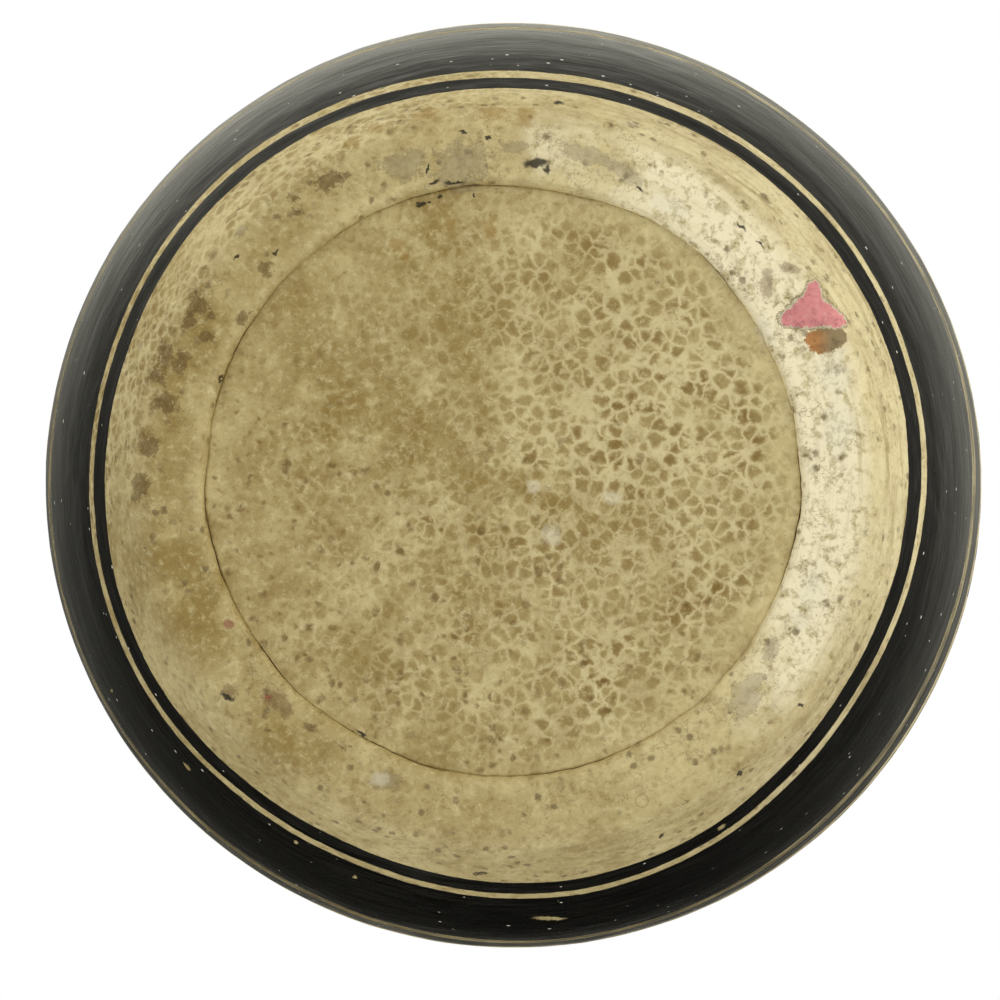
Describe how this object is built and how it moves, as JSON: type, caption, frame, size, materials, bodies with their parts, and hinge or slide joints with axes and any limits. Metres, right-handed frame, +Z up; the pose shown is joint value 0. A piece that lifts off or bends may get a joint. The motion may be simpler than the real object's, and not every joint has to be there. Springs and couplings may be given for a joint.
{
  "type": "alabastron",
  "caption": "Pear-shaped fired-clay oil jar on a flat ring foot, with a narrow bore in a flat mouth plate and a strap handle at the neck.",
  "frame": {"origin": "centre of the standing ring, on the plane that the jar stands on", "axes": "+Z up along the jar's axis to the mouth, +Y towards the strap handle, +X to the side"},
  "size_m": [0.11, 0.11, 0.2],
  "materials": {
    "cream_slip": "burnished cream slip, mottled olive brown",
    "black_gloss": "brushed black gloss, satin"
  },
  "bodies": {
    "root": {"floor_disc": "cream_slip", "lower_body": "cream_slip", "upper_body": "cream_slip", "neck": "cream_slip", "mouth_plate": "cream_slip", "handle": "black_gloss", "foot_line_coat": "black_gloss", "lower_band_coat": "black_gloss", "belly_band_coat": "black_gloss", "shoulder_band_coat": "black_gloss"}
  },
  "joints": []
}
